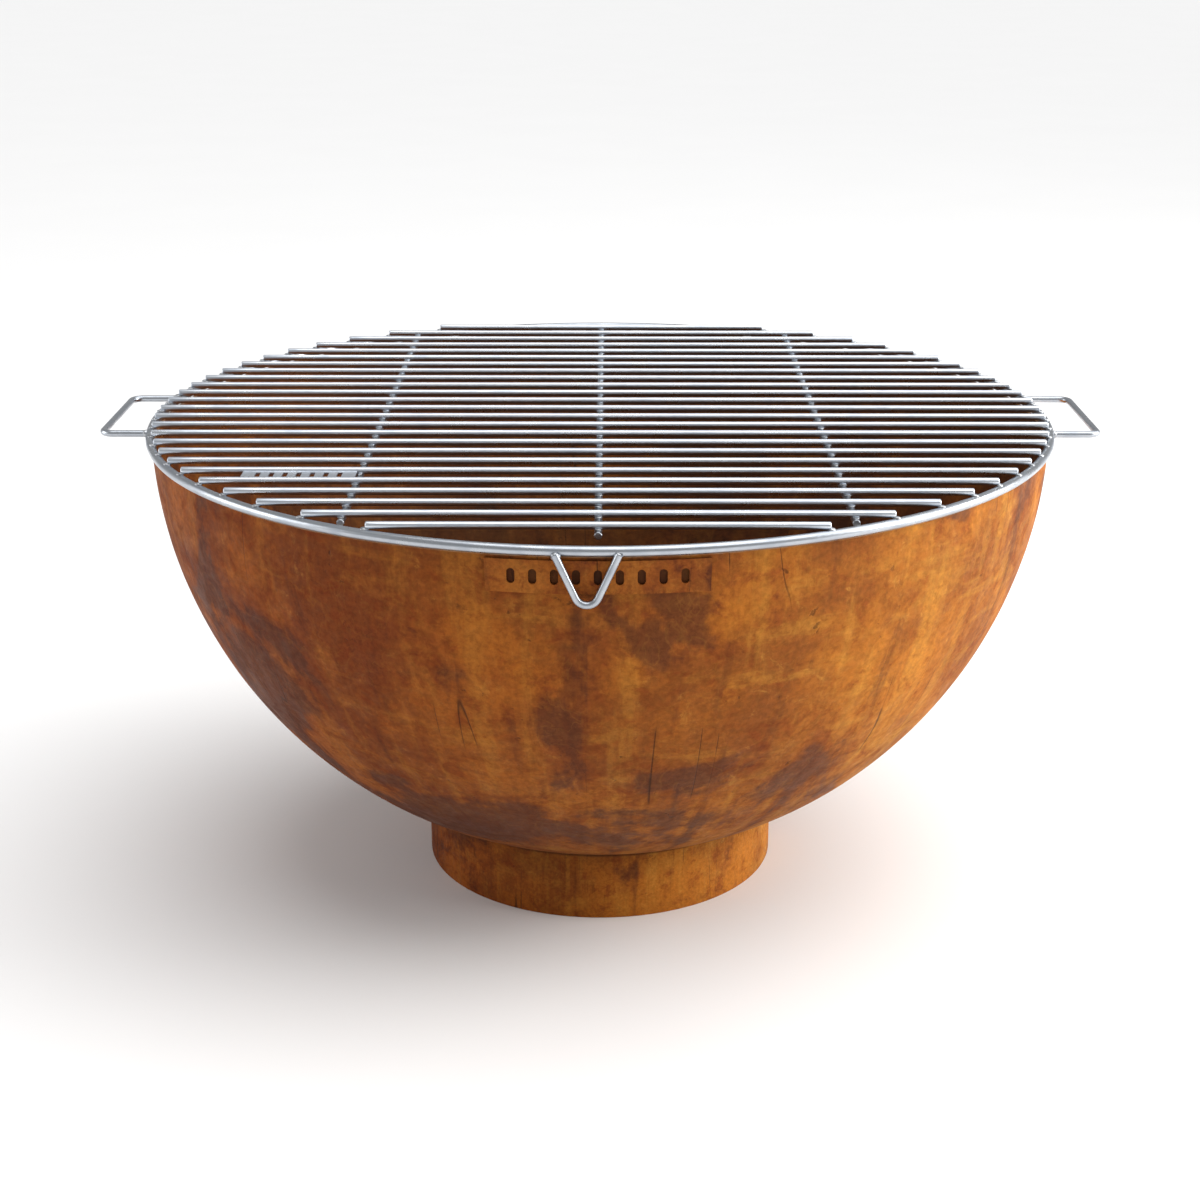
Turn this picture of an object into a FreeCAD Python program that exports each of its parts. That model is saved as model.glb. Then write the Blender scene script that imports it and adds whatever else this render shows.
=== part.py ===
# Fire pit with a lift-off cooking grate.
# The frame has its origin at the centre of the foot's underside, on the floor.
# +Z is up, +X runs along the grate rods and -Y is the side with the plate.
# All sizes are in millimetres.
import FreeCAD
import Part
import math
import os

# ---- bowl ----
RIM_RADIUS = 400.0          # outer radius at the rim
SHEET = 3.0                 # steel sheet of the bowl and the foot
RIM_Z = 420.0               # height of the cut rim above the floor
BOWL_DEPTH = 392.0          # outer depth of the bowl below the rim
BALL_RADIUS = (RIM_RADIUS ** 2 + BOWL_DEPTH ** 2) / (2.0 * BOWL_DEPTH)
BALL_Z = RIM_Z - BOWL_DEPTH + BALL_RADIUS
FLAT_RADIUS = 20.0          # pressed flat in the middle of the bottom
FLAT_Z = BALL_Z - math.sqrt(BALL_RADIUS ** 2 - FLAT_RADIUS ** 2)

# ---- foot ----
FOOT_RADIUS = 164.0         # outer radius of the open foot ring

# ---- plate on the bowl ----
PLATE_WIDTH = 166.0
PLATE_THICK = 2.0
PLATE_TOP = RIM_Z - 3.0
PLATE_HEIGHT = 26.0
PLATE_SLOTS = 9             # plain upright slots in the plate
PLATE_SLOT_WIDTH = 6.0
PLATE_SLOT_HEIGHT = 12.0
PLATE_SLOT_PITCH = 16.0

# ---- grate ring ----
REST_GAP = 0.3              # air between the rim and the ring lying on it
RING_WIRE = 4.0             # radius of the ring wire
RING_RADIUS = 401.0         # radius of the ring centreline
RING_Z = RIM_Z + REST_GAP + RING_WIRE

# ---- grate rods ----
WIRE = 3.0                  # radius of all the thinner wire
ROD_COUNT = 25
ROD_PITCH = 30.0
ROD_END_RADIUS = 402.0      # each rod ends on this circle, just past the middle of the ring
ROD_Z = RING_Z + RING_WIRE + WIRE
CROSS_Z = ROD_Z - 2.0 * WIRE
CROSS_X = 195.0
CROSS_SIDE_HALF = 336.0
CROSS_CENTRE_HALF = 368.0

# ---- handles ----
HANDLE_LEG_Y = 65.0
HANDLE_REACH = 439.0        # centreline of the outer bar
HANDLE_BEND = 10.0

# ---- V-shaped locators outside the bowl ----
LOCATOR_Y = 405.6
LOCATOR_SHIFT = 8.0         # the V sits this far to the side of the middle
LOCATOR_HALF_WIDTH = 24.0
LOCATOR_CORNER_Z = RING_Z - 52.5    # the sharp corner before it is rounded
LOCATOR_BEND = 9.0

# ---- slotted tag between two rods ----
TAG_ROD = 20                # the tag sits between this rod and the next
TAG_CENTRE_X = -242.0
TAG_LENGTH = 92.0
TAG_THICK = 1.5
TAG_SLOTS = 7               # plain slots in the tag
TAG_SLOT_WIDTH = 4.0
TAG_SLOT_HEIGHT = 12.0
TAG_SLOT_PITCH = 11.0


def vec(x, y, z):
    return FreeCAD.Vector(x, y, z)


def ball_slice(radius, bottom):
    """Ball about the bowl's centre of curvature, cut flat at the bottom and at the rim."""
    ball = Part.makeSphere(radius, vec(0.0, 0.0, BALL_Z))
    side = 4.0 * RIM_RADIUS
    corner = vec(-side / 2.0, -side / 2.0, bottom)
    return ball.common(Part.makeBox(side, side, RIM_Z - bottom, corner))


def bowl_shell():
    inside = ball_slice(BALL_RADIUS - SHEET, FLAT_Z + SHEET)
    return ball_slice(BALL_RADIUS, FLAT_Z).cut(inside)


def foot_ring():
    """Rolled strip whose upper edge follows the underside of the bowl."""
    tall = RIM_Z / 4.0
    tube = Part.makeCylinder(FOOT_RADIUS, tall)
    tube = tube.cut(Part.makeCylinder(FOOT_RADIUS - SHEET, tall))
    return tube.cut(ball_slice(BALL_RADIUS, FLAT_Z))


def name_plate():
    """Blank plate with plain slots, rolled to a cone that touches the bowl along its middle."""
    middle = PLATE_TOP - PLATE_HEIGHT / 2.0
    drop = BALL_Z - middle
    touch = math.sqrt(BALL_RADIUS ** 2 - drop ** 2)
    lean = drop / touch * PLATE_HEIGHT / 2.0
    low = middle - PLATE_HEIGHT / 2.0
    section = Part.makePolygon([
        vec(touch - lean, 0.0, low),
        vec(touch - lean + PLATE_THICK, 0.0, low),
        vec(touch + lean + PLATE_THICK, 0.0, PLATE_TOP),
        vec(touch + lean, 0.0, PLATE_TOP),
        vec(touch - lean, 0.0, low),
    ])
    half_turn = math.degrees(math.asin(PLATE_WIDTH / 2.0 / RIM_RADIUS))
    plate = Part.Face(section).revolve(vec(0, 0, 0), vec(0, 0, 1), 2.0 * half_turn)
    plate.rotate(vec(0, 0, 0), vec(0, 0, 1), -90.0 - half_turn)
    reach = RIM_RADIUS + 20.0
    for i in range(PLATE_SLOTS):
        x = (i - (PLATE_SLOTS - 1) / 2.0) * PLATE_SLOT_PITCH
        plate = plate.cut(plate_slot(x, middle, reach))
    return plate


def plate_slot(x, z, reach):
    """Round-ended upright slot reaching inwards from the front."""
    r = PLATE_SLOT_WIDTH / 2.0
    straight = PLATE_SLOT_HEIGHT - PLATE_SLOT_WIDTH
    corner = vec(x - r, -reach, z - straight / 2.0)
    slot = Part.makeBox(2.0 * r, reach / 2.0, straight, corner)
    for end in (-1.0, 1.0):
        start = vec(x, -reach, z + end * straight / 2.0)
        slot = slot.fuse(Part.makeCylinder(r, reach / 2.0, start, vec(0, 1, 0)))
    return slot


def ring_solid():
    return Part.makeTorus(RING_RADIUS, RING_WIRE, vec(0, 0, RING_Z))


def rod_y(number):
    """Rods are numbered from the back to the front."""
    return ((ROD_COUNT + 1) / 2.0 - number) * ROD_PITCH


def grate_rod(number):
    y = rod_y(number)
    half = math.sqrt(ROD_END_RADIUS ** 2 - y ** 2)
    return Part.makeCylinder(WIRE, 2.0 * half, vec(-half, y, ROD_Z), vec(1, 0, 0))


def cross_rod(x, half):
    return Part.makeCylinder(WIRE, 2.0 * half, vec(x, -half, CROSS_Z), vec(0, 1, 0))


def bent_wire(points, bend):
    """Round wire swept along straight runs with one radius at each corner."""
    edges = []
    start = points[0]
    for i in range(1, len(points) - 1):
        into = (points[i] - points[i - 1]).normalize()
        away = (points[i + 1] - points[i]).normalize()
        turn = math.acos(into.dot(away))
        cut = bend * math.tan(turn / 2.0)
        first = points[i] - into * cut
        last = points[i] + away * cut
        inward = (away - into).normalize()
        centre = points[i] + inward * (bend / math.cos(turn / 2.0))
        middle = centre - inward * bend
        edges.append(Part.makeLine(start, first))
        edges.append(Part.Arc(first, middle, last).toShape())
        start = last
    edges.append(Part.makeLine(start, points[-1]))
    path = Part.Wire(edges)
    heading = (points[1] - points[0]).normalize()
    section = Part.Wire(Part.makeCircle(WIRE, points[0], heading))
    return path.makePipeShell([section], True, False)


def handle(side):
    """Flat loop of wire, butted against the outside of the ring."""
    root = side * (RING_RADIUS - 8.0)
    reach = side * HANDLE_REACH
    points = [
        vec(root, -HANDLE_LEG_Y, RING_Z),
        vec(reach, -HANDLE_LEG_Y, RING_Z),
        vec(reach, HANDLE_LEG_Y, RING_Z),
        vec(root, HANDLE_LEG_Y, RING_Z),
    ]
    return outside_ring(bent_wire(points, HANDLE_BEND))


def locator(side):
    """V of wire hanging from the outside of the ring, clear of the bowl."""
    y = side * LOCATOR_Y
    x = side * LOCATOR_SHIFT
    points = [
        vec(x - LOCATOR_HALF_WIDTH, y, RING_Z),
        vec(x, y, LOCATOR_CORNER_Z),
        vec(x + LOCATOR_HALF_WIDTH, y, RING_Z),
    ]
    return outside_ring(bent_wire(points, LOCATOR_BEND))


def outside_ring(wire):
    """Trim a wire so that it ends on the outer surface of the ring."""
    height = 40.0 * RING_WIRE
    core = Part.makeCylinder(RING_RADIUS, height, vec(0, 0, RING_Z - height / 2.0))
    rest = wire.cut(ring_solid()).cut(core)
    return max(rest.Solids, key=solid_volume)


def solid_volume(solid):
    return solid.Volume


def grate_tag():
    """Flat tag that fills the space between two rods."""
    width = ROD_PITCH - 2.0 * WIRE
    middle = (rod_y(TAG_ROD) + rod_y(TAG_ROD + 1)) / 2.0
    low = ROD_Z - TAG_THICK / 2.0
    corner = vec(TAG_CENTRE_X - TAG_LENGTH / 2.0, middle - width / 2.0, low)
    tag = Part.makeBox(TAG_LENGTH, width, TAG_THICK, corner)
    for i in range(TAG_SLOTS):
        x = TAG_CENTRE_X + (i - (TAG_SLOTS - 1) / 2.0) * TAG_SLOT_PITCH
        corner = vec(x - TAG_SLOT_WIDTH / 2.0, middle - TAG_SLOT_HEIGHT / 2.0, low)
        tag = tag.cut(Part.makeBox(TAG_SLOT_WIDTH, TAG_SLOT_HEIGHT, TAG_THICK, corner))
    return tag


def save(name, shape):
    if shape.ShapeType != "Solid" and len(shape.Solids) == 1:
        shape = shape.Solids[0]
    if shape.ShapeType != "Solid" or not shape.isValid():
        raise ValueError(name + " is not one valid solid")
    shape.exportStep("parts/" + name + ".step")
    box = shape.BoundBox
    print(name, round(shape.Volume), [round(v, 2) for v in (
        box.XMin, box.XMax, box.YMin, box.YMax, box.ZMin, box.ZMax)])


os.makedirs("parts", exist_ok=True)
save("bowl_shell", bowl_shell())
save("foot_ring", foot_ring())
save("name_plate", name_plate())
save("grate_ring", ring_solid())
for number in range(1, ROD_COUNT + 1):
    save("rod_%02d" % number, grate_rod(number))
save("cross_rod_left", cross_rod(-CROSS_X, CROSS_SIDE_HALF))
save("cross_rod_centre", cross_rod(0.0, CROSS_CENTRE_HALF))
save("cross_rod_right", cross_rod(CROSS_X, CROSS_SIDE_HALF))
save("handle_left", handle(-1.0))
save("handle_right", handle(1.0))
save("locator_front", locator(-1.0))
save("locator_back", locator(1.0))
save("grate_tag", grate_tag())
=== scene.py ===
import math

import bpy
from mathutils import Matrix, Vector


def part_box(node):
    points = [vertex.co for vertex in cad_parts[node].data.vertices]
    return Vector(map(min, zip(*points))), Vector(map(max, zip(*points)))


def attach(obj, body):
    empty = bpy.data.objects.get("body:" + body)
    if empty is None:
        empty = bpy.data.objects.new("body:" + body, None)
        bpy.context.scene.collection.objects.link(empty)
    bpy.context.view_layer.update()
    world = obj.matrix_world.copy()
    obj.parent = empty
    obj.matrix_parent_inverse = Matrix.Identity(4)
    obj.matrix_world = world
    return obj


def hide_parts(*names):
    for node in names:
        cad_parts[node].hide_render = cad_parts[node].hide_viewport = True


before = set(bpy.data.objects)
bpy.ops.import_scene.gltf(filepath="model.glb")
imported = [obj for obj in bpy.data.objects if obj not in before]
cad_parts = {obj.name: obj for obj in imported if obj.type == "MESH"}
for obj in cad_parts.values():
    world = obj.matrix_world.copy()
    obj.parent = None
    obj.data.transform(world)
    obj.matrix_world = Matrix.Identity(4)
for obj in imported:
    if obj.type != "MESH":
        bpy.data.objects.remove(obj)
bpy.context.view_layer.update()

MM = 0.001

# ---- sizes read from the frame, and those that its boxes don't tell ----
bowl_low, bowl_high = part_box("bowl_shell")
foot_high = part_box("foot_ring")[1]
ring_low, ring_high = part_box("grate_ring")
rod_low, rod_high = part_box("rod_13")
cross_low, cross_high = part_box("cross_rod_centre")
side_low, side_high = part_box("cross_rod_right")
handle_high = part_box("handle_right")[1]
locator_low, locator_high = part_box("locator_front")
plate_low, plate_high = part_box("name_plate")

RIM_RADIUS = bowl_high[0]
RIM_Z = bowl_high[2]
FLAT_Z = bowl_low[2]
FLAT_RADIUS = 20.0 * MM
SHEET = 3.0 * MM
BALL_Z = (RIM_RADIUS ** 2 - FLAT_RADIUS ** 2 + RIM_Z ** 2 - FLAT_Z ** 2) / (2.0 * (RIM_Z - FLAT_Z))
BALL_RADIUS = math.hypot(RIM_RADIUS, BALL_Z - RIM_Z)
FOOT_RADIUS = foot_high[0]

RING_Z = (ring_low[2] + ring_high[2]) / 2.0
RING_WIRE = (ring_high[2] - ring_low[2]) / 2.0
RING_RADIUS = ring_high[0] - RING_WIRE

WIRE = (rod_high[2] - rod_low[2]) / 2.0
ROD_COUNT = 25
ROD_PITCH = 30.0 * MM
ROD_Z = (rod_low[2] + rod_high[2]) / 2.0
ROD_END_RADIUS = rod_high[0] - 2.5 * MM     # the finished rods stop short, where the weld takes over
CROSS_Z = (cross_low[2] + cross_high[2]) / 2.0
CROSS_X = (side_low[0] + side_high[0]) / 2.0
CROSS_HALF = {"left": side_high[1], "centre": cross_high[1], "right": side_high[1]}

HANDLE_REACH = handle_high[0] - WIRE
HANDLE_LEG_Y = handle_high[1] - WIRE
HANDLE_BEND = 10.0 * MM

LOCATOR_Y = -(locator_low[1] + WIRE)
LOCATOR_SHIFT = -(locator_low[0] + locator_high[0]) / 2.0
LOCATOR_HALF_WIDTH = 24.0 * MM
LOCATOR_CORNER_Z = RING_Z - 52.5 * MM
LOCATOR_BEND = 9.0 * MM


# ---------------------------------------------------------------------------
# helpers for node trees
# ---------------------------------------------------------------------------
def add(tree, kind, sockets=None, **settings):
    """Adds a node, sets its options, and links or fills its inputs."""
    node = tree.nodes.new(kind)
    for key, value in settings.items():
        setattr(node, key, value)
    for key, value in (sockets or {}).items():
        fill(tree, node.inputs[key], value)
    return node


def fill(tree, socket, value):
    if isinstance(value, bpy.types.NodeSocket):
        tree.links.new(value, socket)
    else:
        socket.default_value = value


def calc(tree, operation, *values):
    """Output of a Math node on up to three values."""
    node = tree.nodes.new("ShaderNodeMath")
    node.operation = operation
    for i, value in enumerate(values):
        fill(tree, node.inputs[i], value)
    return node.outputs[0]


def srgb(red, green, blue):
    """Linear colour from the 0 to 255 values of a paint card."""
    def linear(value):
        share = value / 255.0
        return share / 12.92 if share <= 0.04045 else ((share + 0.055) / 1.055) ** 2.4
    return (linear(red), linear(green), linear(blue), 1.0)


# ---------------------------------------------------------------------------
# materials
# ---------------------------------------------------------------------------
def new_material(name):
    material = bpy.data.materials.new(name)
    material.use_nodes = True
    tree = material.node_tree
    tree.nodes.clear()
    shader = tree.nodes.new("ShaderNodeBsdfPrincipled")
    output = tree.nodes.new("ShaderNodeOutputMaterial")
    tree.links.new(shader.outputs["BSDF"], output.inputs["Surface"])
    return material, tree, shader


def object_point(tree):
    return tree.nodes.new("ShaderNodeTexCoord").outputs["Object"]


def noise(tree, point, scale, detail=4.0, roughness=0.5, distortion=0.0, w=None):
    node = tree.nodes.new("ShaderNodeTexNoise")
    if w is not None:
        node.noise_dimensions = "4D"
        node.inputs["W"].default_value = w
    fill(tree, node.inputs["Vector"], point)
    node.inputs["Scale"].default_value = scale
    node.inputs["Detail"].default_value = detail
    node.inputs["Roughness"].default_value = roughness
    node.inputs["Distortion"].default_value = distortion
    return node.outputs["Fac"]


def spread(tree, value, low, high, to_low=0.0, to_high=1.0):
    """Smoothly carries a value from one range to another and holds its ends."""
    node = add(tree, "ShaderNodeMapRange", {"Value": value}, interpolation_type="SMOOTHSTEP")
    node.inputs["From Min"].default_value = low
    node.inputs["From Max"].default_value = high
    node.inputs["To Min"].default_value = to_low
    node.inputs["To Max"].default_value = to_high
    return node.outputs["Result"]


def blend_colour(tree, share, first, second, way="MIX"):
    node = tree.nodes.new("ShaderNodeMix")
    node.data_type = "RGBA"
    node.blend_type = way
    fill(tree, node.inputs[0], share)
    fill(tree, node.inputs[6], first)
    fill(tree, node.inputs[7], second)
    return node.outputs[2]


def bump(tree, height, strength, distance, below=None):
    node = add(tree, "ShaderNodeBump", {"Height": height, "Strength": strength, "Distance": distance})
    if below is not None:
        tree.links.new(below, node.inputs["Normal"])
    return node.outputs["Normal"]


def drum_point(tree, around, down):
    """Point on a drum around the bowl's axis: a small factor draws a pattern out that way."""
    parts = add(tree, "ShaderNodeSeparateXYZ", {0: object_point(tree)})
    x, y, z = parts.outputs[0], parts.outputs[1], parts.outputs[2]
    squares = calc(tree, "ADD", calc(tree, "MULTIPLY", x, x), calc(tree, "MULTIPLY", y, y))
    radius = calc(tree, "MAXIMUM", calc(tree, "SQRT", squares), 0.02)
    joined = tree.nodes.new("ShaderNodeCombineXYZ")
    fill(tree, joined.inputs[0], calc(tree, "MULTIPLY", calc(tree, "DIVIDE", x, radius), around))
    fill(tree, joined.inputs[1], calc(tree, "MULTIPLY", calc(tree, "DIVIDE", y, radius), around))
    fill(tree, joined.inputs[2], calc(tree, "MULTIPLY", z, down))
    return joined.outputs[0]


RUST = {
    "orange": srgb(170, 95, 33),
    "ochre": srgb(186, 121, 50),
    "brown": srgb(126, 64, 26),
    "red": srgb(122, 54, 26),
    "plum": srgb(82, 40, 24),
    "dark": srgb(46, 24, 16),
    "soot": srgb(30, 24, 21),
    "bare": srgb(168, 138, 108),
}


def thin_line(tree, value, width):
    """One along the middle contour of a noise, falling to nothing at the given width."""
    away = calc(tree, "ABSOLUTE", calc(tree, "SUBTRACT", value, 0.5))
    return spread(tree, away, width, 0.0)


def shaded(tree, colour, share):
    """Colour made lighter or darker by a factor."""
    grey = add(tree, "ShaderNodeCombineColor", {0: share, 1: share, 2: share})
    return blend_colour(tree, 1.0, colour, grey.outputs[0], "MULTIPLY")


# The large dark stains on the wall: the middle of each, and how far it reaches.
STAINS = (
    ((-0.165, -0.355, 0.348), 0.075),
    ((-0.262, -0.290, 0.330), 0.060),
    ((0.055, -0.390, 0.352), 0.055),
    ((-0.020, -0.352, 0.245), 0.080),
    ((-0.110, -0.255, 0.135), 0.085),
    ((-0.075, -0.365, 0.300), 0.065),
    ((0.040, -0.310, 0.190), 0.075),
    ((-0.290, -0.210, 0.230), 0.080),
    ((0.170, -0.300, 0.215), 0.070),
    ((0.240, 0.300, 0.330), 0.090),
    ((-0.180, 0.320, 0.260), 0.090),
)


def stained(tree, point, centre, radius):
    """One at a place on the wall, falling smoothly to nothing at the given distance."""
    away = add(tree, "ShaderNodeVectorMath", {0: point, 1: centre}, operation="DISTANCE")
    return spread(tree, away.outputs["Value"], radius, 0.3 * radius)


def painted_slot_shade(tree, point):
    """Painted shade: one on the strip of wall behind the plate, so the plate's slots show dark."""
    parts = add(tree, "ShaderNodeSeparateXYZ", {0: point})
    half = (plate_high[0] - plate_low[0]) / 2.0
    middle = (plate_high[2] + plate_low[2]) / 2.0
    tall = (plate_high[2] - plate_low[2]) / 2.0
    across = spread(tree, calc(tree, "ABSOLUTE", parts.outputs[0]), half - 2.0 * MM, half - 5.0 * MM)
    away = calc(tree, "ABSOLUTE", calc(tree, "SUBTRACT", parts.outputs[2], middle))
    level = spread(tree, away, tall - 2.0 * MM, tall - 5.0 * MM)
    front = spread(tree, parts.outputs[1], -0.2, -0.3)
    return calc(tree, "MULTIPLY", calc(tree, "MULTIPLY", across, level), front)


def weathered_steel(name, seed, plum=1.0, soot=0.0, darker=0.0, painted_light_and_stains=None, finer=1.0):
    """Rust patina: brushed orange and brown, ragged plum stains, run-off, scratches, specks; with a height
    ramp given, also painted light and shade: a lighter right side, shading by height, shade behind the
    plate's slots and a contact shadow where foot and bowl meet.
    """
    material, tree, shader = new_material(name)
    place = object_point(tree)
    close = add(tree, "ShaderNodeVectorMath", {0: place}, operation="SCALE")
    close.inputs["Scale"].default_value = finer
    point = close.outputs[0]
    runs_point = drum_point(tree, 1.0, 0.35)
    band_point = drum_point(tree, 0.3, 3.0)
    scratch_point = drum_point(tree, 1.0, 0.16)

    clouds = noise(tree, point, 4.6, 8.0, 0.62, 0.9, seed)
    mottle = noise(tree, point, 40.0, 7.0, 0.7, 0.9, seed + 3.0)
    grain = noise(tree, point, 190.0, 4.0, 0.7, 0.0, seed + 5.0)
    runs = noise(tree, runs_point, 13.0, 7.0, 0.64, 0.35, seed + 23.0)
    bands = noise(tree, band_point, 16.0, 6.0, 0.62, 0.5, seed + 29.0)

    colour = blend_colour(tree, spread(tree, clouds, 0.36, 0.62), RUST["brown"], RUST["orange"])
    colour = blend_colour(tree, spread(tree, runs, 0.5, 0.36, 0.0, 0.32), colour, RUST["ochre"])
    colour = blend_colour(tree, spread(tree, bands, 0.5, 0.66, 0.0, 0.32), colour, RUST["ochre"])
    colour = blend_colour(tree, spread(tree, mottle, 0.5, 0.66, 0.0, 0.6), colour, RUST["red"])
    colour = blend_colour(tree, spread(tree, mottle, 0.42, 0.3, 0.0, 0.5), colour, RUST["ochre"])

    woven = calc(tree, "MULTIPLY_ADD", runs, 0.6, calc(tree, "MULTIPLY", bands, 0.4))
    patches = noise(tree, point, 6.0, 5.0, 0.56, 1.1, seed + 17.0)
    ragged = calc(tree, "MULTIPLY_ADD", patches, 0.62, calc(tree, "MULTIPLY", woven, 0.24))
    ragged = calc(tree, "MULTIPLY_ADD", mottle, 0.14, ragged)
    if painted_light_and_stains:
        for centre, radius in STAINS:
            ragged = calc(tree, "MULTIPLY_ADD", stained(tree, place, centre, radius), 0.07, ragged)
    stain = spread(tree, ragged, 0.535, 0.585, 0.0, 0.7 * plum)
    halo = spread(tree, ragged, 0.49, 0.55, 0.0, 0.4 * plum)
    colour = blend_colour(tree, halo, colour, RUST["red"])
    colour = blend_colour(tree, stain, colour, RUST["plum"])
    colour = blend_colour(tree, spread(tree, runs, 0.55, 0.68, 0.0, 0.5), colour, RUST["plum"])

    veins = thin_line(tree, noise(tree, point, 19.0, 3.0, 0.6, 1.6, seed + 43.0), 0.02)
    colour = blend_colour(tree, calc(tree, "MULTIPLY", veins, 0.09), colour, RUST["ochre"])
    few = spread(tree, noise(tree, point, 9.0, 2.0, 0.5, 0.0, seed + 37.0), 0.5, 0.58)
    scratch = thin_line(tree, noise(tree, scratch_point, 9.0, 1.0, 0.4, 0.0, seed + 31.0), 0.005)
    scratch = calc(tree, "MULTIPLY", scratch, few)
    colour = blend_colour(tree, calc(tree, "MULTIPLY", scratch, 0.75), colour, RUST["dark"])

    specks = noise(tree, point, 95.0, 3.0, 0.6, 0.4, seed + 47.0)
    where = spread(tree, noise(tree, point, 11.0, 3.0, 0.6, 0.0, seed + 53.0), 0.44, 0.6)
    dots = calc(tree, "MULTIPLY", spread(tree, specks, 0.64, 0.7), where)
    colour = blend_colour(tree, calc(tree, "MULTIPLY", dots, 0.5), colour, RUST["dark"])
    colour = shaded(tree, colour, spread(tree, grain, 0.28, 0.72, 0.76, 1.22))
    if painted_light_and_stains:
        # Painted light: the rust is tinted darker and redder at the left and lighter and more ochre at the
        # right, where the key light falls.
        parts = add(tree, "ShaderNodeSeparateXYZ", {0: place})
        side = spread(tree, calc(tree, "MULTIPLY", parts.outputs[0], finer), -0.3, 0.32)
        painted_side_light = blend_colour(tree, side, (0.68, 0.60, 0.52, 1.0), (1.12, 1.34, 1.20, 1.0))
        colour = blend_colour(tree, 1.0, colour, painted_side_light, "MULTIPLY")
        # Painted shade: darker by height, as the ramp sets.
        colour = shaded(tree, colour, spread(tree, parts.outputs[2], *painted_light_and_stains))
        # Painted shade on the wall behind the plate, seen dark through its slots.
        colour = blend_colour(tree, calc(tree, "MULTIPLY", painted_slot_shade(tree, place), 0.8), colour, RUST["dark"])
        # Painted shadow: a dark band on the bowl and the foot where they meet.
        off_foot_top = calc(tree, "ABSOLUTE", calc(tree, "SUBTRACT", parts.outputs[2], foot_high[2]))
        painted_contact_shadow = spread(tree, off_foot_top, 3.2 * MM, 0.8 * MM, 0.0, 0.72)
        colour = blend_colour(tree, painted_contact_shadow, colour, RUST["dark"])
        edge = spread(tree, parts.outputs[2], RIM_Z - 1.6 * MM, RIM_Z - 0.3 * MM)
        worn = calc(tree, "MULTIPLY", edge, spread(tree, mottle, 0.35, 0.6, 0.2, 0.8))
        colour = blend_colour(tree, worn, colour, RUST["bare"])
    if darker:
        colour = blend_colour(tree, darker, colour, RUST["dark"])
    if soot:
        ash = spread(tree, noise(tree, point, 7.0, 5.0, 0.6, 0.3, seed + 41.0), 0.35, 0.62, 0.45 * soot, soot)
        colour = blend_colour(tree, ash, colour, RUST["soot"])
        height = add(tree, "ShaderNodeSeparateXYZ", {0: place}).outputs[2]
        deep = calc(tree, "MULTIPLY_ADD", mottle, -0.12, height)
        colour = blend_colour(tree, spread(tree, deep, 0.26, 0.0, 0.0, 0.8), colour, RUST["soot"])

    tree.links.new(colour, shader.inputs["Base Color"])
    shader.inputs["Metallic"].default_value = 0.0
    shader.inputs["Specular IOR Level"].default_value = 0.16
    shader.inputs["Specular Tint"].default_value = (1.0, 0.72, 0.5, 1.0)
    matt = spread(tree, mottle, 0.3, 0.7, 0.6, 0.84)
    polish = calc(tree, "SUBTRACT", matt, calc(tree, "MULTIPLY", stain, 0.18))
    tree.links.new(polish, shader.inputs["Roughness"])
    first = bump(tree, grain, 0.3, 0.5 * MM)
    second = bump(tree, woven, 0.35, 2.0 * MM, first)
    pits = calc(tree, "SUBTRACT", 1.0, calc(tree, "MAXIMUM", dots, scratch))
    tree.links.new(bump(tree, pits, 0.5, 0.5 * MM, second), shader.inputs["Normal"])
    return material


def plated_wire(name, along, seed=0.0, tone=1.0):
    """Zinc plating with drawing lines along the wire and a faint cloudy bloom."""
    material, tree, shader = new_material(name)
    point = object_point(tree)
    stretch = add(tree, "ShaderNodeMapping", {"Vector": point})
    stretch.inputs["Scale"].default_value = along
    lines = noise(tree, stretch.outputs[0], 900.0, 3.0, 0.6, 0.0, seed)
    bloom = noise(tree, point, 35.0, 5.0, 0.6, 0.4, seed + 3.0)
    flecks = noise(tree, point, 420.0, 3.0, 0.6, 0.0, seed + 7.0)
    colour = blend_colour(tree, spread(tree, bloom, 0.35, 0.7), srgb(216, 221, 228), srgb(194, 201, 211))
    colour = blend_colour(tree, spread(tree, flecks, 0.6, 0.76, 0.0, 0.08), colour, srgb(150, 156, 165))
    colour = shaded(tree, colour, tone)
    tree.links.new(colour, shader.inputs["Base Color"])
    shader.inputs["Metallic"].default_value = 1.0
    tree.links.new(spread(tree, bloom, 0.3, 0.7, 0.25, 0.36), shader.inputs["Roughness"])
    fine = bump(tree, lines, 0.03, 0.05 * MM)
    tree.links.new(bump(tree, flecks, 0.02, 0.05 * MM, fine), shader.inputs["Normal"])
    return material


def weld_metal(name):
    """Plated weld nuggets: greyer and rougher than the wire."""
    material, tree, shader = new_material(name)
    point = object_point(tree)
    pores = noise(tree, point, 600.0, 4.0, 0.65, 0.0, 2.0)
    cloud = noise(tree, point, 120.0, 3.0, 0.5, 0.0, 5.0)
    colour = blend_colour(tree, spread(tree, cloud, 0.35, 0.65), srgb(196, 199, 203), srgb(150, 152, 156))
    tree.links.new(colour, shader.inputs["Base Color"])
    shader.inputs["Metallic"].default_value = 1.0
    tree.links.new(spread(tree, pores, 0.3, 0.7, 0.28, 0.5), shader.inputs["Roughness"])
    tree.links.new(bump(tree, pores, 0.4, 0.15 * MM), shader.inputs["Normal"])
    return material


# Painted shade by height: from one height to another, the share of its full colour that the rust keeps; the
# bowl darker low down, the foot darker at its top under the bowl.
BOWL_PAINTED_SHADE = (0.05, 0.3, 0.74, 1.0)
FOOT_PAINTED_SHADE = (0.03, 0.072, 1.0, 0.66)

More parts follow.
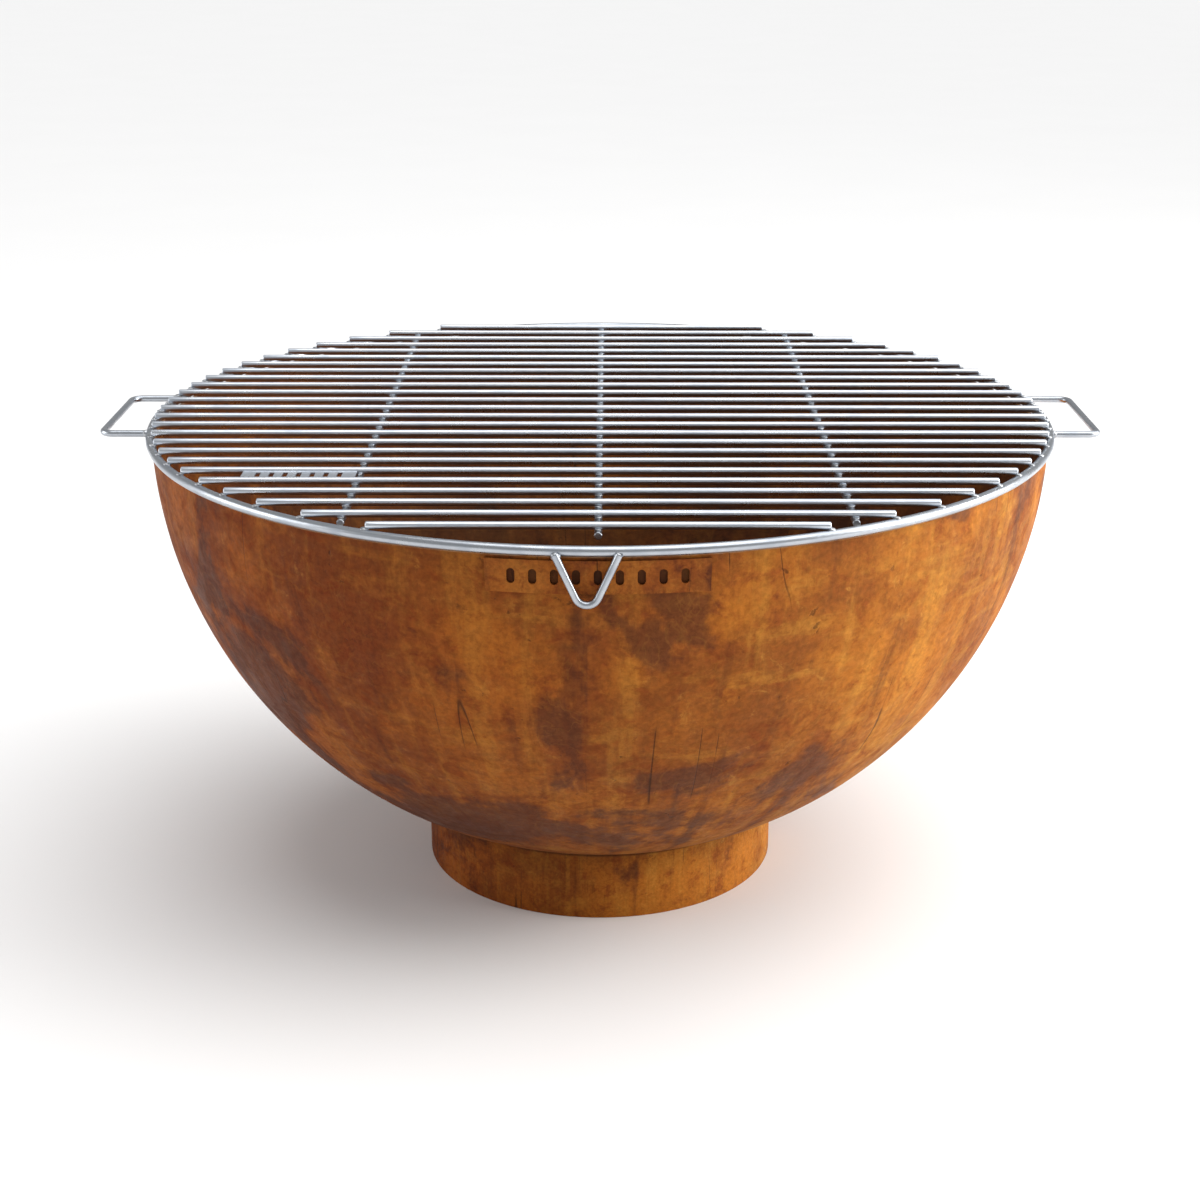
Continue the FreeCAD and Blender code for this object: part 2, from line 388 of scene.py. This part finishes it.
bowl_outside = weathered_steel("rust, painted light and shade on the outside of the bowl", 1.0, painted_light_and_stains=BOWL_PAINTED_SHADE)
bowl_inside = weathered_steel("sooted rust inside the bowl", 4.0, soot=0.6, darker=0.2)
foot_rust_and_shade = weathered_steel("rust, painted light and shade on the foot", 9.0, darker=0.06, painted_light_and_stains=FOOT_PAINTED_SHADE, finer=1.9)
plate_rust = weathered_steel("rust on the plate", 15.0, plum=1.1, darker=0.3, finer=1.5)
rod_plating = plated_wire("plating on the rods", (0.02, 1.0, 1.0))
cross_plating = plated_wire("plating on the cross rods", (1.0, 0.02, 1.0), 11.0, 0.8)
ring_plating = plated_wire("plating on the ring and bent wire", (0.3, 0.3, 1.0), 19.0, 0.68)
tag_plating = plated_wire("plating on the tag", (0.05, 1.0, 1.0), 27.0)
nugget_metal = weld_metal("plated weld metal")


# ---------------------------------------------------------------------------
# helpers for Geometry Nodes pieces
# ---------------------------------------------------------------------------
KINDS = {
    float: "NodeSocketFloat",
    int: "NodeSocketInt",
    Vector: "NodeSocketVector",
    bpy.types.Material: "NodeSocketMaterial",
}


def new_tree(name, inputs, takes_mesh=True):
    """Geometry tree with the named inputs; returns the tree and its group input."""
    tree = bpy.data.node_groups.new(name, "GeometryNodeTree")
    tree.is_modifier = True
    tree.interface.new_socket("Geometry", in_out="OUTPUT", socket_type="NodeSocketGeometry")
    tree.interface.new_socket("Geometry", in_out="INPUT", socket_type="NodeSocketGeometry")
    for label, kind in inputs.items():
        tree.interface.new_socket(label, in_out="INPUT", socket_type=KINDS[kind])
    return tree, tree.nodes.new("NodeGroupInput")


def close_tree(tree, geometry, material):
    """Ends a tree in Realize Instances and Set Material."""
    real = add(tree, "GeometryNodeRealizeInstances", {"Geometry": geometry})
    smooth = add(tree, "GeometryNodeSetShadeSmooth", {"Geometry": real.outputs[0]})
    painted = add(tree, "GeometryNodeSetMaterial", {"Geometry": smooth.outputs[0], "Material": material})
    add(tree, "NodeGroupOutput", {"Geometry": painted.outputs[0]})


def grown(name, tree, values, mesh=None):
    """Runs a tree on a mesh and keeps the result as a plain mesh object."""
    source = bpy.data.objects.new(name + "_seed", mesh or bpy.data.meshes.new(name + "_seed"))
    bpy.context.collection.objects.link(source)
    modifier = source.modifiers.new("nodes", "NODES")
    modifier.node_group = tree
    for item in tree.interface.items_tree:
        if item.in_out == "INPUT" and item.name in values:
            modifier[item.identifier] = values[item.name]
    source.update_tag()
    view = bpy.context.evaluated_depsgraph_get()
    result = bpy.data.meshes.new_from_object(source.evaluated_get(view))
    result.name = name
    bpy.data.objects.remove(source)
    drop_empty_slots(result)
    piece = bpy.data.objects.new(name, result)
    bpy.context.collection.objects.link(piece)
    return piece


def drop_empty_slots(mesh):
    """Removes the unused first slot that a joined tree leaves behind."""
    while len(mesh.materials) and mesh.materials[0] is None:
        mesh.materials.pop(index=0)


def points_mesh(name, points, edges=()):
    mesh = bpy.data.meshes.new(name + "_points")
    mesh.from_pydata([tuple(p) for p in points], list(edges), [])
    return mesh


# ---------------------------------------------------------------------------
# the bowl
# ---------------------------------------------------------------------------
LIP_HEIGHT = 0.8 * MM
LIP_FULLNESS = 0.45         # 1 is a round lip, and less is nearer to square
WAVINESS = 1.2 * MM         # how far the sheet wanders in and out below the rim


def bowl_tree():
    """Hollow ball slice with a rounded lip, from three grids wrapped round the axis."""
    tree, given = new_tree("bowl wall", {
        "Ball radius": float, "Ball height": float, "Sheet": float, "Rim height": float,
        "Flat height": float, "Lip": float, "Waviness": float, "Around": int, "Down": int,
        "Outside": bpy.types.Material, "Inside": bpy.types.Material,
    })
    get = given.outputs
    sheet, height = get["Sheet"], get["Rim height"]
    lip_start = calc(tree, "SUBTRACT", height, get["Lip"])
    lip_drop = calc(tree, "SUBTRACT", get["Ball height"], lip_start)

    def grid(rows):
        columns = calc(tree, "ADD", get["Around"], 1.0)
        node = add(tree, "GeometryNodeMeshGrid", {"Size X": 1.0, "Size Y": 1.0, "Vertices X": columns})
        fill(tree, node.inputs["Vertices Y"], rows)
        return node.outputs["Mesh"]

    def share(axis, scale):
        place = add(tree, "GeometryNodeInputPosition")
        parts = add(tree, "ShaderNodeSeparateXYZ", {0: place.outputs[0]})
        return calc(tree, "MULTIPLY", calc(tree, "ADD", parts.outputs[axis], 0.5), scale)

    def wrapped(mesh, reach, level):
        turn = share(0, 2.0 * math.pi)
        spot = add(tree, "ShaderNodeCombineXYZ", {
            0: calc(tree, "MULTIPLY", reach, calc(tree, "COSINE", turn)),
            1: calc(tree, "MULTIPLY", reach, calc(tree, "SINE", turn)),
            2: level,
        })
        moved = add(tree, "GeometryNodeSetPosition", {"Geometry": mesh, "Position": spot.outputs[0]})
        return moved.outputs[0]

    def wall(ball, bottom):
        tilt = share(1, calc(tree, "ARCCOSINE", calc(tree, "DIVIDE", lip_drop, ball)))
        out = calc(tree, "MULTIPLY", ball, calc(tree, "SINE", tilt))
        down = calc(tree, "MULTIPLY", ball, calc(tree, "COSINE", tilt))
        level = calc(tree, "SUBTRACT", get["Ball height"], down)
        return wrapped(grid(get["Down"]), out, calc(tree, "MAXIMUM", level, bottom))

    def reach_at_lip(ball):
        ball_square = calc(tree, "MULTIPLY", ball, ball)
        drop_square = calc(tree, "MULTIPLY", lip_drop, lip_drop)
        return calc(tree, "SQRT", calc(tree, "SUBTRACT", ball_square, drop_square))

    def painted(mesh, material):
        return add(tree, "GeometryNodeSetMaterial", {"Geometry": mesh, "Material": material}).outputs[0]

    outer_ball = get["Ball radius"]
    inner_ball = calc(tree, "SUBTRACT", outer_ball, sheet)
    outer = painted(wall(outer_ball, get["Flat height"]), get["Outside"])
    inner = wall(inner_ball, calc(tree, "ADD", get["Flat height"], sheet))
    inner = painted(add(tree, "GeometryNodeFlipFaces", {"Mesh": inner}).outputs[0], get["Inside"])

    bow = share(1, math.pi)
    outer_edge, inner_edge = reach_at_lip(outer_ball), reach_at_lip(inner_ball)
    half = calc(tree, "MULTIPLY", calc(tree, "SUBTRACT", outer_edge, inner_edge), 0.5)
    side = calc(tree, "COSINE", bow)
    fullness = calc(tree, "POWER", calc(tree, "ABSOLUTE", side), LIP_FULLNESS)
    square = calc(tree, "MULTIPLY", calc(tree, "SIGN", side), fullness)
    crest = calc(tree, "POWER", calc(tree, "MAXIMUM", calc(tree, "SINE", bow), 0.0), LIP_FULLNESS)
    reach = calc(tree, "MULTIPLY_ADD", half, square, calc(tree, "SUBTRACT", outer_edge, half))
    level = calc(tree, "MULTIPLY_ADD", get["Lip"], crest, lip_start)
    lip = painted(wrapped(grid(17), reach, level), get["Outside"])

    joined = tree.nodes.new("GeometryNodeJoinGeometry")
    for part in (lip, inner, outer):
        tree.links.new(part, joined.inputs[0])
    welded = add(tree, "GeometryNodeMergeByDistance", {"Geometry": joined.outputs[0], "Distance": 0.02 * MM})

    place = add(tree, "GeometryNodeInputPosition")
    wave = add(tree, "ShaderNodeTexNoise", {"Vector": place.outputs[0], "Scale": 9.0, "Detail": 2.0})
    parts = add(tree, "ShaderNodeSeparateXYZ", {0: place.outputs[0]})
    below = calc(tree, "SUBTRACT", height, parts.outputs[2])
    calm = add(tree, "ShaderNodeMapRange", {"Value": below, "From Min": 0.0, "From Max": 0.06})
    lift = calc(tree, "MULTIPLY", calc(tree, "SUBTRACT", wave.outputs["Fac"], 0.5), get["Waviness"])
    lift = calc(tree, "MULTIPLY", lift, calm.outputs[0])
    centre = add(tree, "ShaderNodeCombineXYZ", {2: get["Ball height"]})
    ends = {0: place.outputs[0], 1: centre.outputs[0]}
    away = add(tree, "ShaderNodeVectorMath", ends, operation="SUBTRACT")
    outward = add(tree, "ShaderNodeVectorMath", {0: away.outputs[0]}, operation="NORMALIZE")
    push = add(tree, "ShaderNodeVectorMath", {0: outward.outputs[0]}, operation="SCALE")
    fill(tree, push.inputs["Scale"], lift)
    waved = add(tree, "GeometryNodeSetPosition", {"Geometry": welded.outputs[0], "Offset": push.outputs[0]})
    smooth = add(tree, "GeometryNodeSetShadeSmooth", {"Geometry": waved.outputs[0]})
    real = add(tree, "GeometryNodeRealizeInstances", {"Geometry": smooth.outputs[0]})
    add(tree, "NodeGroupOutput", {"Geometry": real.outputs[0]})
    return tree


def make_bowl():
    bowl = grown("fire_bowl", bowl_tree(), {
        "Ball radius": BALL_RADIUS, "Ball height": BALL_Z, "Sheet": SHEET, "Rim height": RIM_Z,
        "Flat height": FLAT_Z, "Lip": LIP_HEIGHT, "Waviness": WAVINESS, "Around": 320, "Down": 96,
        "Outside": bowl_outside, "Inside": bowl_inside,
    })
    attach(bowl, "bowl")
    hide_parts("bowl_shell")


# ---------------------------------------------------------------------------
# the foot
# ---------------------------------------------------------------------------
def under_bowl(radius):
    """Height of the bowl's underside at a distance from the axis."""
    return BALL_Z - math.sqrt(BALL_RADIUS ** 2 - radius ** 2)


def turned(name, outline, around, material):
    """Closed solid of revolution; the outline runs anticlockwise in radius and height."""
    points, faces = [], []
    count = len(outline)
    for i in range(around):
        angle = 2.0 * math.pi * i / around
        for radius, height in outline:
            points.append((radius * math.cos(angle), radius * math.sin(angle), height))
    for i in range(around):
        here, there = i * count, (i + 1) % around * count
        for j in range(count):
            k = (j + 1) % count
            faces.append((here + j, there + j, there + k, here + k))
    mesh = bpy.data.meshes.new(name)
    mesh.from_pydata(points, [], faces)
    mesh.materials.append(material)
    mesh.update()
    piece = bpy.data.objects.new(name, mesh)
    bpy.context.collection.objects.link(piece)
    return piece


SMOOTH_BELOW = 35.0         # degrees between two faces


def smooth_by_angle(piece):
    bpy.context.view_layer.objects.active = piece
    piece.select_set(True)
    bpy.ops.object.shade_smooth_by_angle(angle=math.radians(SMOOTH_BELOW))
    piece.select_set(False)


def make_foot():
    """Open ring of sheet with softened lower edges, cut to the bowl above."""
    inner = FOOT_RADIUS - SHEET
    edge = 0.6 * MM
    outline = [
        (inner + edge, 0.0),
        (FOOT_RADIUS - edge, 0.0),
        (FOOT_RADIUS - 0.3 * edge, 0.3 * edge),
        (FOOT_RADIUS, edge),
        (FOOT_RADIUS, 0.33 * foot_high[2]),
        (FOOT_RADIUS, 0.66 * foot_high[2]),
        (FOOT_RADIUS, under_bowl(FOOT_RADIUS)),
        (inner, under_bowl(inner)),
        (inner, 0.5 * foot_high[2]),
        (inner, edge),
        (inner + 0.3 * edge, 0.3 * edge),
    ]
    foot = turned("foot_band", outline, 256, foot_rust_and_shade)
    smooth_by_angle(foot)
    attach(foot, "bowl")
    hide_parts("foot_ring")


def bead_tree():
    """Hoop of weld metal with the lumps of a hand-laid bead."""
    tree, given = new_tree("weld bead", {
        "Radius": float, "Height": float, "Thickness": float, "Lumps": float, "Material": bpy.types.Material,
    })
    get = given.outputs
    hoop = add(tree, "GeometryNodeCurvePrimitiveCircle", {"Radius": get["Radius"], "Resolution": 480})
    place = add(tree, "GeometryNodeInputPosition")
    lumps = add(tree, "ShaderNodeTexNoise", {
        "Vector": place.outputs[0], "Scale": get["Lumps"], "Detail": 1.0,
    })
    size = calc(tree, "MULTIPLY", get["Thickness"], calc(tree, "ADD", lumps.outputs["Fac"], 0.5))
    section = add(tree, "GeometryNodeCurvePrimitiveCircle", {"Radius": 1.0, "Resolution": 10})
    tube = add(tree, "GeometryNodeCurveToMesh", {
        "Curve": hoop.outputs[0], "Profile Curve": section.outputs[0], "Scale": size,
    })
    level = add(tree, "ShaderNodeCombineXYZ", {2: get["Height"]})
    raised = add(tree, "GeometryNodeTransform", {
        "Geometry": tube.outputs[0], "Translation": level.outputs[0],
    })
    close_tree(tree, raised.outputs[0], get["Material"])
    return tree


def make_foot_bead():
    """Weld bead in the corner between the inside of the foot and the bowl."""
    radius = FOOT_RADIUS - SHEET
    bead = grown("foot_weld_bead", bead_tree(), {
        "Radius": radius - 0.5 * MM, "Height": under_bowl(radius) - 0.8 * MM, "Thickness": 2.0 * MM,
        "Lumps": 160.0, "Material": foot_rust_and_shade,
    })
    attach(bead, "bowl")


# ---------------------------------------------------------------------------
# the grate
# ---------------------------------------------------------------------------
def rods_tree():
    """Row of round rods, each as long as the ring is wide at its place."""
    tree, given = new_tree("grate rods", {
        "Count": int, "Pitch": float, "Wire radius": float, "End radius": float, "Height": float,
        "Material": bpy.types.Material,
    })
    get = given.outputs
    gaps = calc(tree, "SUBTRACT", get["Count"], 1.0)
    half = calc(tree, "MULTIPLY", gaps, calc(tree, "MULTIPLY", get["Pitch"], 0.5))
    start = add(tree, "ShaderNodeCombineXYZ", {1: calc(tree, "MULTIPLY", half, -1.0), 2: get["Height"]})
    step = add(tree, "ShaderNodeCombineXYZ", {1: get["Pitch"]})
    row = add(tree, "GeometryNodeMeshLine", {
        "Count": get["Count"], "Start Location": start.outputs[0], "Offset": step.outputs[0],
    })
    bar = add(tree, "GeometryNodeMeshCylinder", {
        "Vertices": 20, "Side Segments": 24, "Radius": get["Wire radius"], "Depth": 2.0,
    })
    lying = add(tree, "GeometryNodeTransform", {
        "Geometry": bar.outputs["Mesh"], "Rotation": (0.0, math.pi / 2.0, 0.0),
    })
    laid = add(tree, "GeometryNodeInstanceOnPoints", {
        "Points": row.outputs["Mesh"], "Instance": lying.outputs[0],
    })
    real = add(tree, "GeometryNodeRealizeInstances", {"Geometry": laid.outputs[0]})
    place = add(tree, "GeometryNodeInputPosition")
    parts = add(tree, "ShaderNodeSeparateXYZ", {0: place.outputs[0]})
    y = parts.outputs[1]
    middle = calc(tree, "SNAP", calc(tree, "MULTIPLY_ADD", get["Pitch"], 0.5, y), get["Pitch"])
    square = calc(tree, "MULTIPLY", get["End radius"], get["End radius"])
    reach = calc(tree, "SQRT", calc(tree, "SUBTRACT", square, calc(tree, "MULTIPLY", middle, middle)))
    x = calc(tree, "MULTIPLY", parts.outputs[0], reach)
    spot = add(tree, "ShaderNodeCombineXYZ", {0: x, 1: y, 2: parts.outputs[2]})
    cut = add(tree, "GeometryNodeSetPosition", {"Geometry": real.outputs[0], "Position": spot.outputs[0]})
    close_tree(tree, cut.outputs[0], get["Material"])
    return tree


def bent_wire_tree():
    """Round wire along a bent path, with the same radius at each bend."""
    tree, given = new_tree("bent wire", {
        "Wire radius": float, "Bend": float, "Sides": int, "Material": bpy.types.Material,
    })
    get = given.outputs
    path = add(tree, "GeometryNodeMeshToCurve", {"Mesh": get["Geometry"]})
    eased = add(tree, "GeometryNodeFilletCurve", {"Curve": path.outputs[0], "Radius": get["Bend"]})
    if "Mode" in eased.inputs:
        eased.inputs["Mode"].default_value = "Poly"
    else:
        eased.mode = "POLY"
    eased.inputs["Count"].default_value = 10
    section = add(tree, "GeometryNodeCurvePrimitiveCircle", {
        "Radius": get["Wire radius"], "Resolution": get["Sides"],
    })
    tube = add(tree, "GeometryNodeCurveToMesh", {
        "Curve": eased.outputs[0], "Profile Curve": section.outputs[0], "Fill Caps": True,
    })
    close_tree(tree, tube.outputs[0], get["Material"])
    return tree


def ring_tree():
    """Plain round hoop of wire."""
    tree, given = new_tree("grate ring", {
        "Radius": float, "Wire radius": float, "Height": float, "Material": bpy.types.Material,
    })
    get = given.outputs
    hoop = add(tree, "GeometryNodeCurvePrimitiveCircle", {"Radius": get["Radius"], "Resolution": 288})
    section = add(tree, "GeometryNodeCurvePrimitiveCircle", {"Radius": get["Wire radius"], "Resolution": 28})
    tube = add(tree, "GeometryNodeCurveToMesh", {
        "Curve": hoop.outputs[0], "Profile Curve": section.outputs[0],
    })
    level = add(tree, "ShaderNodeCombineXYZ", {2: get["Height"]})
    raised = add(tree, "GeometryNodeTransform", {
        "Geometry": tube.outputs[0], "Translation": level.outputs[0],
    })
    close_tree(tree, raised.outputs[0], get["Material"])
    return tree


def nuggets_tree():
    """Small squashed weld nuggets on given points, each a little different."""
    tree, given = new_tree("weld nuggets", {
        "Radius": float, "Flatness": float, "Seed": int, "Material": bpy.types.Material,
    })
    get = given.outputs
    ball = add(tree, "GeometryNodeMeshUVSphere", {"Segments": 12, "Rings": 6, "Radius": get["Radius"]})
    low = add(tree, "ShaderNodeCombineXYZ", {0: 0.82, 1: 0.82, 2: get["Flatness"]})
    high = add(tree, "ShaderNodeCombineXYZ", {0: 1.14, 1: 1.14, 2: get["Flatness"]})
    limits = {"Min": low.outputs[0], "Max": high.outputs[0]}
    size = add(tree, "FunctionNodeRandomValue", limits, data_type="FLOAT_VECTOR")
    fill(tree, size.inputs["Seed"], get["Seed"])
    turn = add(tree, "FunctionNodeRandomValue", {"Max": (0.15, 0.15, 3.1)}, data_type="FLOAT_VECTOR")
    fill(tree, turn.inputs["Seed"], get["Seed"])
    laid = add(tree, "GeometryNodeInstanceOnPoints", {
        "Points": get["Geometry"], "Instance": ball.outputs["Mesh"], "Scale": size.outputs[0],
    })
    fill(tree, laid.inputs["Rotation"], turn.outputs[0])
    close_tree(tree, laid.outputs[0], get["Material"])
    return tree


def soften_ends(piece, width):
    """Rounds the sharp cut ends of the wires."""
    bevel = piece.modifiers.new("soft_ends", "BEVEL")
    bevel.width = width
    bevel.segments = 3
    bevel.limit_method = "ANGLE"
    bevel.angle_limit = math.radians(50.0)
    view = bpy.context.evaluated_depsgraph_get()
    mesh = bpy.data.meshes.new_from_object(piece.evaluated_get(view))
    piece.modifiers.clear()
    piece.data = mesh


def on_grate(piece, *nodes):
    """Rides a plated piece on the grate, in place of the named nodes."""
    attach(piece, "grate")
    if nodes:
        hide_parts(*nodes)


def rod_y(index):
    return (index - (ROD_COUNT - 1) / 2.0) * ROD_PITCH


def make_rods():
    rods = grown("cooking_rods", rods_tree(), {
        "Count": ROD_COUNT, "Pitch": ROD_PITCH, "Wire radius": WIRE, "End radius": ROD_END_RADIUS,
        "Height": ROD_Z, "Material": rod_plating,
    })
    soften_ends(rods, 1.1 * MM)
    smooth_by_angle(rods)
    on_grate(rods, *["rod_%02d" % (i + 1) for i in range(ROD_COUNT)])


def make_cross_rods(tree):
    places = {"left": -CROSS_X, "centre": 0.0, "right": CROSS_X}
    for side, x in places.items():
        half = CROSS_HALF[side]
        mesh = points_mesh(side, [(x, -half, CROSS_Z), (x, half, CROSS_Z)], [(0, 1)])
        rod = grown("cross_rod_" + side + "_wire", tree, {
            "Wire radius": WIRE, "Bend": 0.0, "Sides": 20, "Material": cross_plating,
        }, mesh)
        soften_ends(rod, 0.5 * MM)
        smooth_by_angle(rod)
        on_grate(rod, "cross_rod_" + side)


def make_ring():
    ring = grown("grate_hoop", ring_tree(), {
        "Radius": RING_RADIUS, "Wire radius": RING_WIRE, "Height": RING_Z, "Material": ring_plating,
    })
    on_grate(ring, "grate_ring")


def make_handles(tree):
    for side, sign in (("left", -1.0), ("right", 1.0)):
        root = sign * math.sqrt(RING_RADIUS ** 2 - HANDLE_LEG_Y ** 2)
        reach = sign * HANDLE_REACH
        path = [
            (root, -HANDLE_LEG_Y, RING_Z), (reach, -HANDLE_LEG_Y, RING_Z),
            (reach, HANDLE_LEG_Y, RING_Z), (root, HANDLE_LEG_Y, RING_Z),
        ]
        mesh = points_mesh(side, path, [(0, 1), (1, 2), (2, 3)])
        loop = grown("handle_" + side + "_loop", tree, {
            "Wire radius": WIRE, "Bend": HANDLE_BEND, "Sides": 20, "Material": ring_plating,
        }, mesh)
        on_grate(loop, "handle_" + side)


def make_locators(tree):
    for side, sign in (("front", -1.0), ("back", 1.0)):
        y = sign * LOCATOR_Y
        top = RING_Z - 1.0 * MM
        slope = LOCATOR_HALF_WIDTH / (RING_Z - LOCATOR_CORNER_Z)
        half = slope * (top - LOCATOR_CORNER_Z)
        x = sign * LOCATOR_SHIFT
        path = [(x - half, y, top), (x, y, LOCATOR_CORNER_Z), (x + half, y, top)]
        mesh = points_mesh(side, path, [(0, 1), (1, 2)])
        vee = grown("locator_" + side + "_vee", tree, {
            "Wire radius": WIRE, "Bend": LOCATOR_BEND, "Sides": 20, "Material": ring_plating,
        }, mesh)
        on_grate(vee, "locator_" + side)


NUGGET_RADIUS = 3.3 * MM
COLLAR_RADIUS = 3.6 * MM


def make_nuggets():
    """Weld dots where the rods meet the cross rods and the ring."""
    crossings = ((-CROSS_X, CROSS_HALF["left"]), (0.0, CROSS_HALF["centre"]), (CROSS_X, CROSS_HALF["right"]))
    points = []
    for i in range(ROD_COUNT):
        y = rod_y(i)
        for x, reach in crossings:
            if abs(y) < reach:
                points.append((x, y, (ROD_Z + CROSS_Z) / 2.0))
        x = math.sqrt(ROD_END_RADIUS ** 2 - y ** 2) + 0.5 * MM
        points.append((-x, y, ROD_Z - WIRE))
        points.append((x, y, ROD_Z - WIRE))
    nuggets = grown("grate_weld_nuggets", nuggets_tree(), {
        "Radius": NUGGET_RADIUS, "Flatness": 0.42, "Seed": 5, "Material": nugget_metal,
    }, points_mesh("nuggets", points))
    on_grate(nuggets)


def make_collars():
    """Weld fillets where the handles and the V-shaped locators leave the ring."""
    points = []
    reach = math.sqrt((RING_RADIUS + RING_WIRE) ** 2 - HANDLE_LEG_Y ** 2)
    for side in (-1.0, 1.0):
        for leg in (-HANDLE_LEG_Y, HANDLE_LEG_Y):
            points.append((side * reach, leg, RING_Z))
    top = RING_Z - 0.8 * RING_WIRE
    half = LOCATOR_HALF_WIDTH * (top - LOCATOR_CORNER_Z) / (RING_Z - LOCATOR_CORNER_Z)
    for side in (-1.0, 1.0):
        for leg in (-half, half):
            points.append((side * LOCATOR_SHIFT + leg, side * (LOCATOR_Y - 1.4 * MM), top))
    collars = grown("grate_weld_collars", nuggets_tree(), {
        "Radius": COLLAR_RADIUS, "Flatness": 0.95, "Seed": 9, "Material": nugget_metal,
    }, points_mesh("collars", points))
    on_grate(collars)


def make_tag():
    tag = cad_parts["grate_tag"]
    tag.data.materials.clear()
    tag.data.materials.append(tag_plating)


def make_plate():
    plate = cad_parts["name_plate"]
    plate.data.materials.clear()
    plate.data.materials.append(plate_rust)


# ---------------------------------------------------------------------------
# floor, light and camera
# ---------------------------------------------------------------------------
FLOOR_HALF = 40.0


def make_floor():
    mesh = bpy.data.meshes.new("studio_floor")
    half = FLOOR_HALF
    corners = [(-half, -half, 0.0), (half, -half, 0.0), (half, half, 0.0), (-half, half, 0.0)]
    mesh.from_pydata(corners, [], [(0, 1, 2, 3)])
    floor = bpy.data.objects.new("studio_floor", mesh)
    bpy.context.collection.objects.link(floor)
    material, tree, shader = new_material("pale studio floor")
    shade = noise(tree, object_point(tree), 3.0, 3.0)
    colour = blend_colour(tree, shade, (0.86, 0.86, 0.86, 1.0), (0.84, 0.84, 0.84, 1.0))
    tree.links.new(colour, shader.inputs["Base Color"])
    shader.inputs["Roughness"].default_value = 0.9
    shader.inputs["Specular IOR Level"].default_value = 0.1
    mesh.materials.append(material)


def area_light(name, place, aim, width, height, power, colour=(1.0, 1.0, 1.0)):
    light = bpy.data.lights.new(name, "AREA")
    light.shape = "RECTANGLE"
    light.size = width
    light.size_y = height
    light.energy = power
    light.color = colour
    lamp = bpy.data.objects.new(name, light)
    lamp.location = place
    lamp.rotation_euler = (Vector(aim) - Vector(place)).to_track_quat("-Z", "Y").to_euler()
    bpy.context.collection.objects.link(lamp)


# ---- light: places in metres, powers in watts, the glow's spread and tilt in degrees ----
KEY_PLACE = (3.0, -0.2, 1.3)
KEY_POWER = 116.0
KEY_COLOUR = (1.0, 0.98, 0.95)
FILL_PLACE = (-2.8, -0.2, 1.0)
FILL_POWER = 26.0
GLOW_STRENGTH = 2.2
GLOW_SPREAD = 70.0
GLOW_TILT = 15.0
WORLD_STRENGTH = 0.42


def make_lights():
    """Large warm light at the right, weak one at the left, and an even glow from above."""
    middle = (0.0, 0.0, 0.25)
    area_light("key_from_the_right", KEY_PLACE, middle, 2.2, 1.8, KEY_POWER, KEY_COLOUR)
    area_light("fill_from_the_left", FILL_PLACE, middle, 1.8, 1.6, FILL_POWER)
    sky = bpy.data.lights.new("overhead_glow", "SUN")
    sky.energy = GLOW_STRENGTH
    sky.angle = math.radians(GLOW_SPREAD)
    glow = bpy.data.objects.new("overhead_glow", sky)
    glow.rotation_euler = (0.0, math.radians(GLOW_TILT), 0.0)
    bpy.context.collection.objects.link(glow)
    world = bpy.data.worlds.new("studio")
    world.use_nodes = True
    back = world.node_tree.nodes["Background"]
    back.inputs["Color"].default_value = (1.0, 1.0, 1.0, 1.0)
    back.inputs["Strength"].default_value = WORLD_STRENGTH
    bpy.context.scene.world = world
    bpy.context.scene.view_settings.view_transform = "Standard"


# ---- camera: metres from the bowl's axis, degrees down and round, lens in millimetres ----
CAMERA_DISTANCE = 1.809
CAMERA_ABOVE_RING = 0.455
CAMERA_DOWN = math.degrees(0.3364)
CAMERA_ROUND = 0.22
CAMERA_LENS = 61.22


def make_camera():
    data = bpy.data.cameras.new("camera")
    data.sensor_width = 36.0
    data.lens = CAMERA_LENS
    data.clip_end = 200.0
    camera = bpy.data.objects.new("camera", data)
    bpy.context.collection.objects.link(camera)
    turn = math.radians(CAMERA_ROUND)
    camera.location = (
        CAMERA_DISTANCE * math.sin(turn),
        -CAMERA_DISTANCE * math.cos(turn),
        RING_Z + CAMERA_ABOVE_RING,
    )
    camera.rotation_euler = (math.radians(90.0 - CAMERA_DOWN), 0.0, turn)
    bpy.context.scene.camera = camera


make_floor()
make_lights()
make_camera()
make_bowl()
make_foot()
make_foot_bead()
make_plate()
make_ring()
make_rods()
wire_tree = bent_wire_tree()
make_cross_rods(wire_tree)
make_handles(wire_tree)
make_locators(wire_tree)
make_nuggets()
make_collars()
make_tag()
